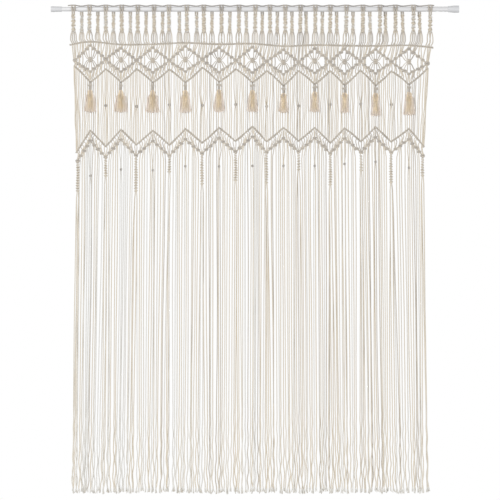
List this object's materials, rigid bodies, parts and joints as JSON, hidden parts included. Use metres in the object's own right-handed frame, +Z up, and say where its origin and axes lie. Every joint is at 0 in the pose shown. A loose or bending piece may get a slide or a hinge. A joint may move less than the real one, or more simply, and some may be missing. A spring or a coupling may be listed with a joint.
{
  "type": "macrame curtain and rod",
  "caption": "Knotted cord curtain with diamonds, zigzags, tassels and a long fringe, woven onto a telescoping rod.",
  "frame": {"origin": "on the rod's axis, midway between its two flat ends", "axes": "+X along the rod to the viewer's right, +Z up, -Y towards the viewer in front of the curtain"},
  "size_m": [1.489, 0.038, 1.7858],
  "materials": {
    "rod_enamel": "satin white enamel",
    "cap_plastic": "smooth moulded",
    "cream_cotton": "soft twisted cord",
    "warm_cotton": "soft combed cord"
  },
  "bodies": {
    "root": {"rod_outer_tube": "rod_enamel", "rod_inner_tube": "rod_enamel", "rod_cap_left": "cap_plastic", "rod_cap_right": "cap_plastic", "macrame_panel": "cream_cotton", "fringe": "cream_cotton", "tassel_01": "warm_cotton", "tassel_02": "warm_cotton", "tassel_03": "warm_cotton", "tassel_04": "warm_cotton", "tassel_05": "warm_cotton", "tassel_06": "warm_cotton", "tassel_07": "warm_cotton", "tassel_08": "warm_cotton", "tassel_09": "warm_cotton", "tassel_10": "warm_cotton", "tassel_11": "warm_cotton"}
  },
  "joints": []
}
